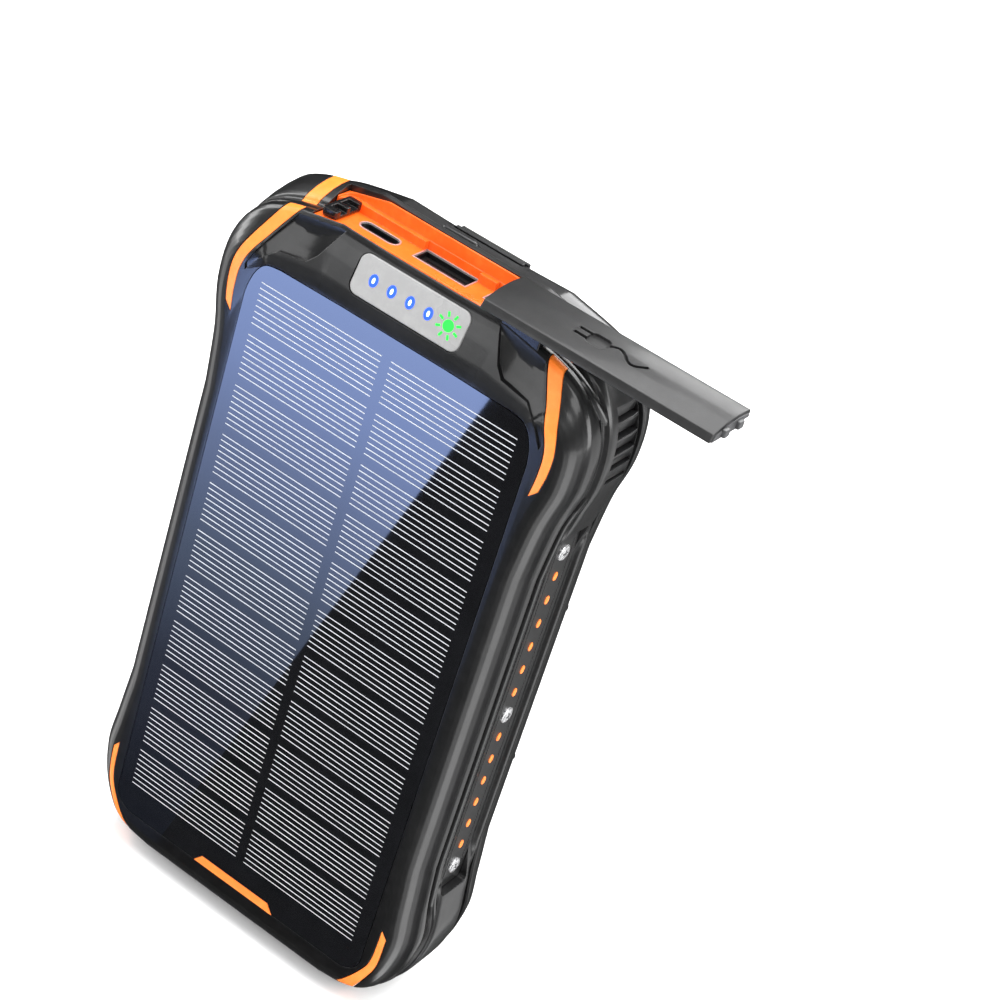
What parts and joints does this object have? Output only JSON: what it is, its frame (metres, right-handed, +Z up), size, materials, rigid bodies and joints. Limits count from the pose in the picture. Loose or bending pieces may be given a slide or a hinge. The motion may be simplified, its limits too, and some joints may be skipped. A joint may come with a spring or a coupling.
{
  "type": "solar phone charger",
  "caption": "Rugged pocket power bank with a solar face, a port bay under a swinging cover, a rear camping lamp and a wireless charging pad.",
  "frame": {"origin": "middle of the flat bottom end, at mid-depth, with the unit standing upright", "axes": "+Z up the length towards the port bay, +Y from the solar face to the back, +X across the width"},
  "size_m": [0.1095, 0.0289, 0.1622],
  "materials": {
    "shell_plastic": "fine satin black plastic",
    "frame_plastic": "satin charcoal plastic",
    "orange_plastic": "smooth orange plastic",
    "cover_glass": "polished clear cover glass",
    "solar_cell": "black silicon with thin white contact fingers",
    "indicator_plastic": "light grey satin window with lit blue dots and a green sun",
    "leather": "grained black leather with a stitched border",
    "pad_rubber": "matt dark grey rubber",
    "lamp_plastic": "milky white diffuser",
    "bright_steel": "bright plated steel",
    "dark_steel": "dark plated steel",
    "board": "green solder mask",
    "battery_foil": "aluminium laminate foil",
    "copper": "enamelled copper wire",
    "dark_plastic": "smooth black plastic"
  },
  "bodies": {
    "housing": {"battery_left": "battery_foil", "battery_right": "battery_foil", "bay_liner": "orange_plastic", "button_switch": "dark_plastic", "charging_coil": "copper", "coil_shield": "dark_plastic", "coin_screw_left": "bright_steel", "coin_screw_right": "bright_steel", "crown_band_left": "orange_plastic", "crown_band_right": "orange_plastic", "foot_badge": "orange_plastic", "foot_panel": "frame_plastic", "foot_stripe_left": "orange_plastic", "foot_stripe_right": "orange_plastic", "front_bezel": "shell_plastic", "indicator_board": "board", "indicator_window": "indicator_plastic", "lamp_board": "board", "lamp_diffuser": "lamp_plastic", "latch_bracket": "dark_plastic", "leather_panel": "leather", "light_bar_left": "orange_plastic", "light_bar_right": "orange_plastic", "main_board": "board", "middle_frame": "frame_plastic", "rear_screw_left_1": "dark_steel", "rear_screw_left_2": "dark_steel", "rear_screw_left_3": "dark_steel", "rear_screw_left_4": "dark_steel", "rear_screw_left_5": "dark_steel", "rear_screw_left_6": "dark_steel", "rear_screw_right_1": "dark_steel", "rear_screw_right_2": "dark_steel", "rear_screw_right_3": "dark_steel", "rear_screw_right_4": "dark_steel", "rear_screw_right_5": "dark_steel", "rear_screw_right_6": "dark_steel", "rear_shell": "shell_plastic", "shoulder_stripe_left": "orange_plastic", "shoulder_stripe_right": "orange_plastic", "side_screw_left_1": "bright_steel", "side_screw_left_2": "bright_steel", "side_screw_left_3": "bright_steel", "side_screw_right_1": "bright_steel", "side_screw_right_2": "bright_steel", "side_screw_right_3": "bright_steel", "side_strip_left": "dark_plastic", "side_strip_right": "dark_plastic", "solar_cells": "solar_cell", "solar_glass": "cover_glass", "strap_hook": "frame_plastic", "strap_plate": "bright_steel", "usb_a_port_1": "dark_steel", "usb_a_port_2": "dark_steel", "usb_c_port": "dark_steel", "wireless_pad": "pad_rubber"},
    "power_button": {"power_button": "frame_plastic"},
    "cover_stem": {"cover_stem": "dark_plastic"},
    "port_cover": {"port_cover": "shell_plastic"}
  },
  "joints": [
    {"name": "power_button_press", "type": "slide", "parent": "housing", "child": "power_button", "axis": [0, -0.6585, -0.7526], "range_m": [0, 0.0006], "stiffness_N_per_m": 3000},
    {"name": "cover_stem_lift", "type": "slide", "parent": "housing", "child": "cover_stem", "axis": [0, 0, 1], "range_m": [-0.0016, 0.0008]},
    {"name": "port_cover_swing", "type": "hinge", "parent": "cover_stem", "child": "port_cover", "pos_m": [0.01975, -0.007, 0.1594], "axis": [0, 0, 1], "range_deg": [-180, 0]}
  ]
}
